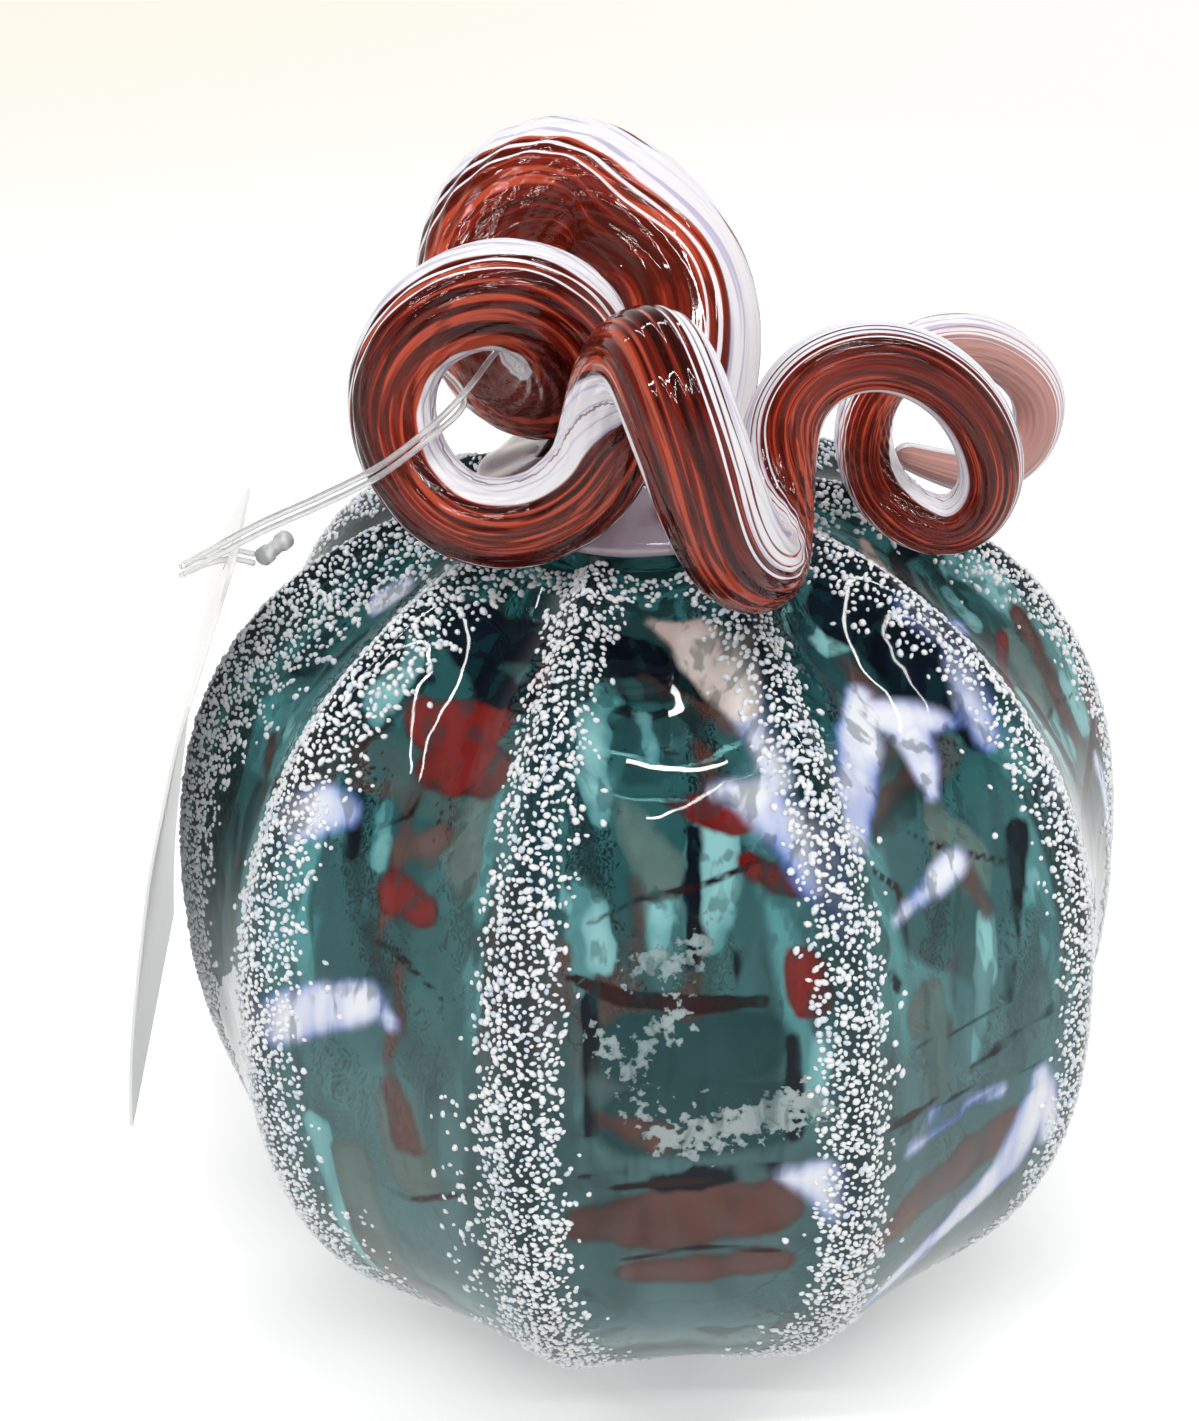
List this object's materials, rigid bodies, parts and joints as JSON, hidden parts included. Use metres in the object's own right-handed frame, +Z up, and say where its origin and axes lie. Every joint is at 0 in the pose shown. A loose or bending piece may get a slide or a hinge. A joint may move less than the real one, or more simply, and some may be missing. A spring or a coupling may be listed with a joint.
{
  "type": "glass pumpkin",
  "caption": "Hollow ribbed blown glass pumpkin with raised grain bands on its ribs, a freely curled glass stem, and a blank hang tag on a clear loop that swings off the flank.",
  "frame": {"origin": "centre of the ring that the body stands on, at table height", "axes": "+Z up, -Y the front of the pumpkin, -X the side where the hang tag leans"},
  "size_m": [0.1421, 0.1302, 0.1607],
  "materials": {
    "body_glass": "clear dark teal glass with coloured streaks, fire polished",
    "frit": "fused opaque white glass grains",
    "stem_glass": "transparent red brown glass with lavender lines, finely fluted",
    "card": "white coated card, blank",
    "clear_plastic": "clear plastic thread"
  },
  "bodies": {
    "pumpkin": {"glass_body": "body_glass", "curled_stem": "stem_glass", "tag_loop": "clear_plastic", "rib_frit_01": "frit", "rib_frit_02": "frit", "rib_frit_03": "frit", "rib_frit_04": "frit", "rib_frit_05": "frit", "rib_frit_06": "frit", "rib_frit_07": "frit", "rib_frit_08": "frit", "rib_frit_09": "frit", "rib_frit_10": "frit"},
    "lock": {"tag_lock": "clear_plastic"},
    "tag": {"tag_card": "card"}
  },
  "joints": [
    {"name": "tag_swing", "type": "hinge", "parent": "pumpkin", "child": "lock", "pos_m": [-0.05397, -0.003, 0.11245], "axis": [0, 1, 0], "range_deg": [0, 30]},
    {"name": "tag_sway", "type": "hinge", "parent": "lock", "child": "tag", "pos_m": [-0.05397, -0.003, 0.11245], "axis": [-0.9092, -0.0476, 0.4137], "range_deg": [-15, 15]}
  ]
}
